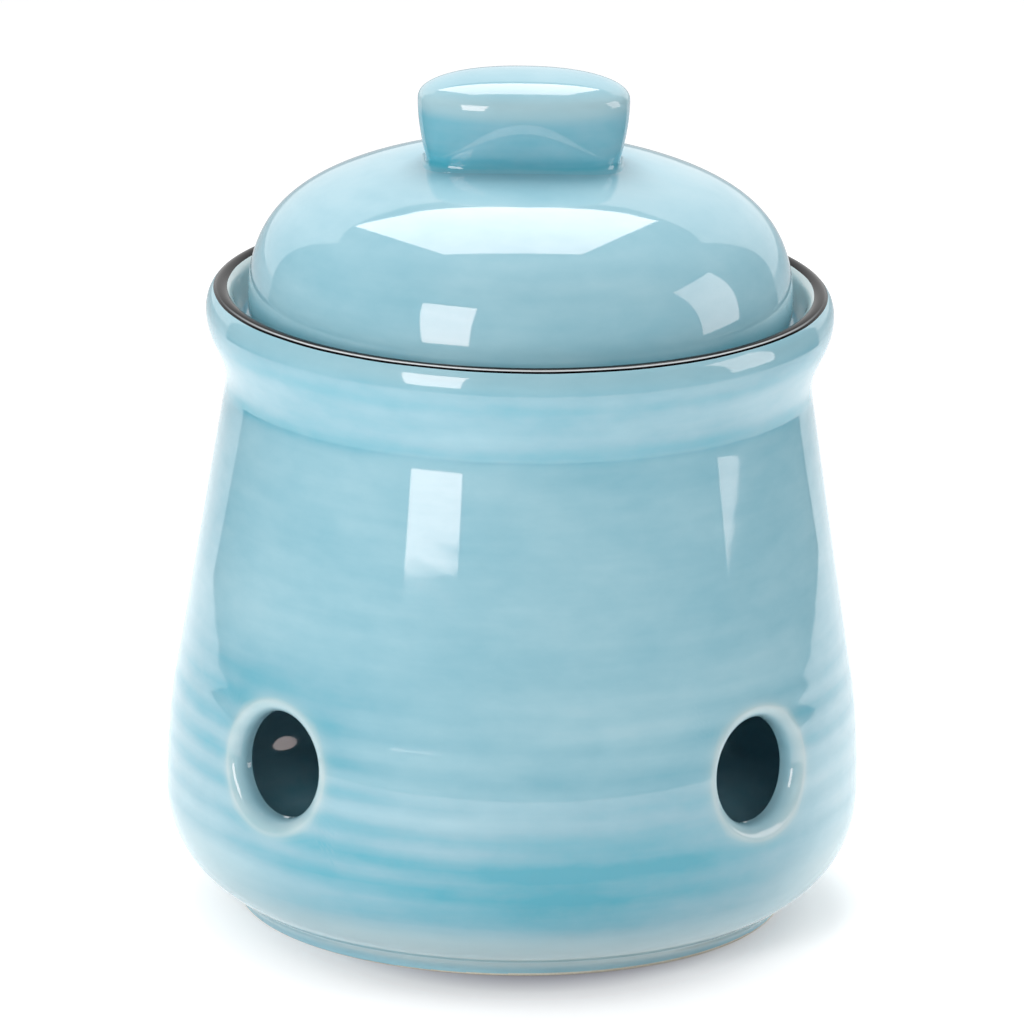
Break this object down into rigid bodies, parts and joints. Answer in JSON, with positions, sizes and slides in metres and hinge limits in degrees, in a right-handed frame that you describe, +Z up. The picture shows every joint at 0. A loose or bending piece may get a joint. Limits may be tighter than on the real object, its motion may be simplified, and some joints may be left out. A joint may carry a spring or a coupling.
{
  "type": "ceramic garlic keeper",
  "caption": "Round-shouldered glazed ceramic jar with air vents low in its wall, a flared lip and a domed lift-off lid with an oval knob, for storing garlic.",
  "frame": {"origin": "centre of the face that the foot ring stands on", "axes": "+Z up along the jar's axis, -Y towards the plain front between two vents, X along the knob's length"},
  "size_m": [0.13, 0.13, 0.1595],
  "materials": {
    "blue_glaze": "gloss, pale blue celadon-like glaze, cloudy and pooled in hollows",
    "dark_glaze": "gloss, brown-black fired band",
    "bare_clay": "matt, unglazed cream stoneware"
  },
  "bodies": {
    "jar": {"jar_body": "blue_glaze", "foot_ring": "bare_clay", "rim_band": "dark_glaze"},
    "lid": {"lid_dome": "blue_glaze", "lid_flange": "blue_glaze", "lid_knob": "blue_glaze"}
  },
  "joints": [
    {"name": "lid_lift", "type": "slide", "parent": "jar", "child": "lid", "axis": [0, 0, 1], "range_m": [0, 0.08]}
  ]
}
